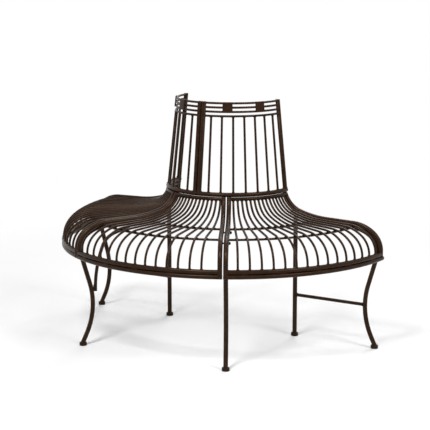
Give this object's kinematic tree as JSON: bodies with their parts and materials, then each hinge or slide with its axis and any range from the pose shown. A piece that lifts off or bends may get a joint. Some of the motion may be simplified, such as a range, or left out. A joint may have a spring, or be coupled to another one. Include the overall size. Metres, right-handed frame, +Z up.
{
  "type": "half-round tree bench",
  "caption": "Half-round metal bench that stands around a tree trunk, with a curved slatted seat, a low round back on its inner edge and bent legs.",
  "frame": {"origin": "on the floor, below the middle of the bench's box", "axes": "+Z up, +X from the bench's left end to its right end as a sitter sees it from the front, -Y towards the sitters, +Y towards the tree"},
  "size_m": [1.2316, 0.629, 0.8502],
  "materials": {
    "frame_coat": "dark brown powder coat, satin",
    "foot_cap": "dark brown, matt",
    "fastener": "dull zinc under a thin dark coat"
  },
  "bodies": {
    "root": {"front_left_brace": "frame_coat", "front_left_leg": "frame_coat", "front_right_brace": "frame_coat", "front_right_leg": "frame_coat", "inner_feet": "foot_cap", "left_back_bars": "frame_coat", "left_back_left_upright": "frame_coat", "left_back_lower_rail": "frame_coat", "left_back_right_upright": "frame_coat", "left_crown_rods": "frame_coat", "left_inner_hoop": "frame_coat", "left_inner_leg": "frame_coat", "left_left_side_rail": "frame_coat", "left_lower_rim": "frame_coat", "left_outer_hoop": "frame_coat", "left_outer_leg": "frame_coat", "left_plates": "frame_coat", "left_right_side_rail": "frame_coat", "left_seat_back_rail": "frame_coat", "left_slats": "frame_coat", "left_stretcher": "frame_coat", "left_upper_rim": "frame_coat", "middle_inner_hoop": "frame_coat", "middle_left_side_rail": "frame_coat", "middle_lower_rim": "frame_coat", "middle_outer_hoop": "frame_coat", "middle_right_side_rail": "frame_coat", "middle_seat_back_rail": "frame_coat", "middle_slats": "frame_coat", "middle_upper_rim": "frame_coat", "outer_feet": "foot_cap", "right_back_bars": "frame_coat", "right_back_left_upright": "frame_coat", "right_back_lower_rail": "frame_coat", "right_back_right_upright": "frame_coat", "right_crown_rods": "frame_coat", "right_inner_hoop": "frame_coat", "right_inner_leg": "frame_coat", "right_left_side_rail": "frame_coat", "right_lower_rim": "frame_coat", "right_outer_hoop": "frame_coat", "right_outer_leg": "frame_coat", "right_plates": "frame_coat", "right_right_side_rail": "frame_coat", "right_seat_back_rail": "frame_coat", "right_slats": "frame_coat", "right_stretcher": "frame_coat", "right_upper_rim": "frame_coat", "seam_bolts": "fastener", "seam_nuts": "fastener", "seam_tabs": "frame_coat"}
  },
  "joints": []
}
